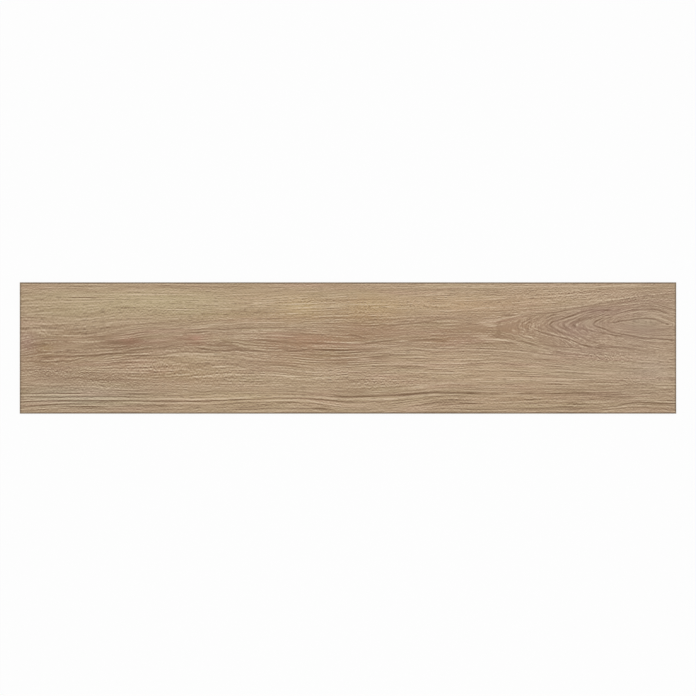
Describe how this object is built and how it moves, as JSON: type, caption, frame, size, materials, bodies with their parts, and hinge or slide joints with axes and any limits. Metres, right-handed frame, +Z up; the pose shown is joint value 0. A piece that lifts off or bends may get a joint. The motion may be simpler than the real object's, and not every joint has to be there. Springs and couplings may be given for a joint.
{
  "type": "wood look porcelain plank tile",
  "caption": "Long flat rectangular porcelain plank with a matte oak-grain printed face, square ground edges with a fine bevel, and a ribbed keyed back for bedding in adhesive.",
  "frame": {"origin": "middle of the bedding plane, where the ribs of the back stand, under the plank's centre", "axes": "+X along the plank's length, +Y across its width, +Z up from the back to the printed face"},
  "size_m": [1, 0.2, 0.009],
  "materials": {
    "glazed_porcelain": "matte"
  },
  "bodies": {
    "root": {"plank_tile": "glazed_porcelain"}
  },
  "joints": []
}
